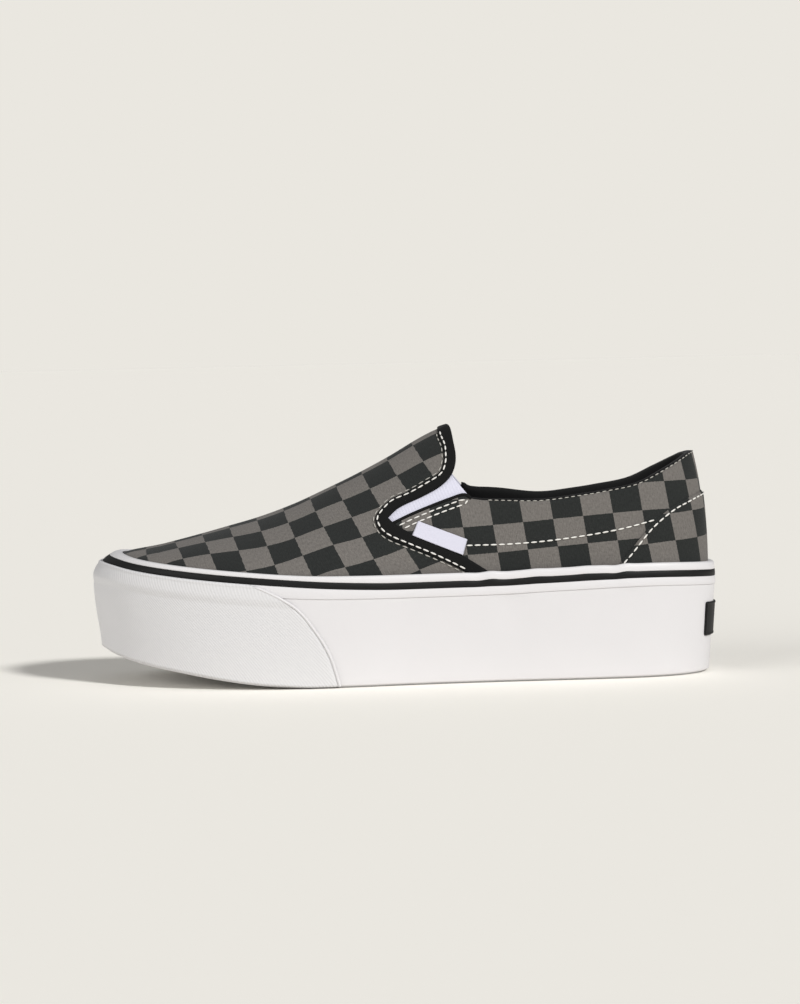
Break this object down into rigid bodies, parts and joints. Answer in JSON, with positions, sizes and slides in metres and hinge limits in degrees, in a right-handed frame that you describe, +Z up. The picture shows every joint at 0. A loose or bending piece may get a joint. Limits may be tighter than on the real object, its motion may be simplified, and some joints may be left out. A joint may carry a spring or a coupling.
{
  "type": "slip-on sneaker",
  "caption": "Left platform slip-on shoe with a checked canvas upper, elastic gores, padded collar and a thick white rubber sole with a dark stripe round its top edge.",
  "frame": {"origin": "middle of the shoe's bounding box, on the floor that the sole stands on", "axes": "+X from toe to heel along the shoe, +Y towards the inner (medial) side, +Z up"},
  "size_m": [0.2715, 0.0983, 0.109],
  "materials": {
    "white_rubber": "satin white vulcanised rubber",
    "black_rubber": "satin black rubber",
    "outsole_rubber": "matte off-white rubber",
    "check_canvas": "woven canvas in charcoal and grey squares",
    "black_trim": "folded black textile trim",
    "gore_elastic": "ribbed white elastic",
    "lining": "soft black lining cloth",
    "tab_ribbon": "woven white ribbon"
  },
  "bodies": {
    "root": {"outsole": "outsole_rubber", "midsole": "white_rubber", "foxing_tape": "white_rubber", "foxing_stripe": "black_rubber", "toe_bumper": "white_rubber", "heel_patch": "black_rubber", "insole": "lining", "upper": "check_canvas", "gore_lateral": "gore_elastic", "gore_medial": "gore_elastic", "throat_binding": "black_trim", "collar_lining": "lining", "heel_counter": "check_canvas", "label_tab": "tab_ribbon"}
  },
  "joints": []
}
